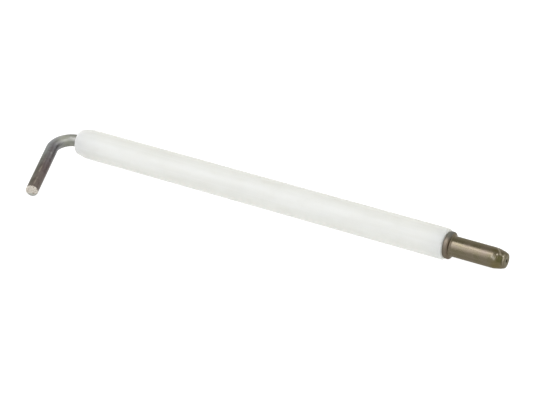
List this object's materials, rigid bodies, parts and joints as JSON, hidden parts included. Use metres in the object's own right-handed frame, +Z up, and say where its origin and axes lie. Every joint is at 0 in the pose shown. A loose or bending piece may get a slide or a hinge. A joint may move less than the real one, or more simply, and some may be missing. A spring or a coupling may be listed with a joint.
{
  "type": "flame sensor probe",
  "caption": "Straight white ceramic insulator tube around a bent heat-resistant metal rod, with a flanged push-on terminal pin at the other end, for sensing a burner flame.",
  "frame": {"origin": "centre of the bottom of the bounding box, on the surface that the probe lies on", "axes": "+X along the insulator's axis, from the hot end towards the terminal; +Z up, away from the surface it lies on; the sensing leg points towards -Y and droops until its tip touches the surface"},
  "size_m": [0.1011, 0.023, 0.0061],
  "materials": {
    "insulator_ceramic": "white satin glaze, faintly green-grey",
    "rod_alloy": "drawn iron-chromium-aluminium wire with grey-green and purple-brown heat tints",
    "terminal_plate": "worn brownish nickel plate, satin",
    "cement": "matt off-white refractory cement"
  },
  "bodies": {
    "root": {"ceramic_insulator": "insulator_ceramic", "electrode_rod": "rod_alloy", "terminal_ferrule": "terminal_plate", "front_cement": "cement", "rear_cement": "cement"}
  },
  "joints": []
}
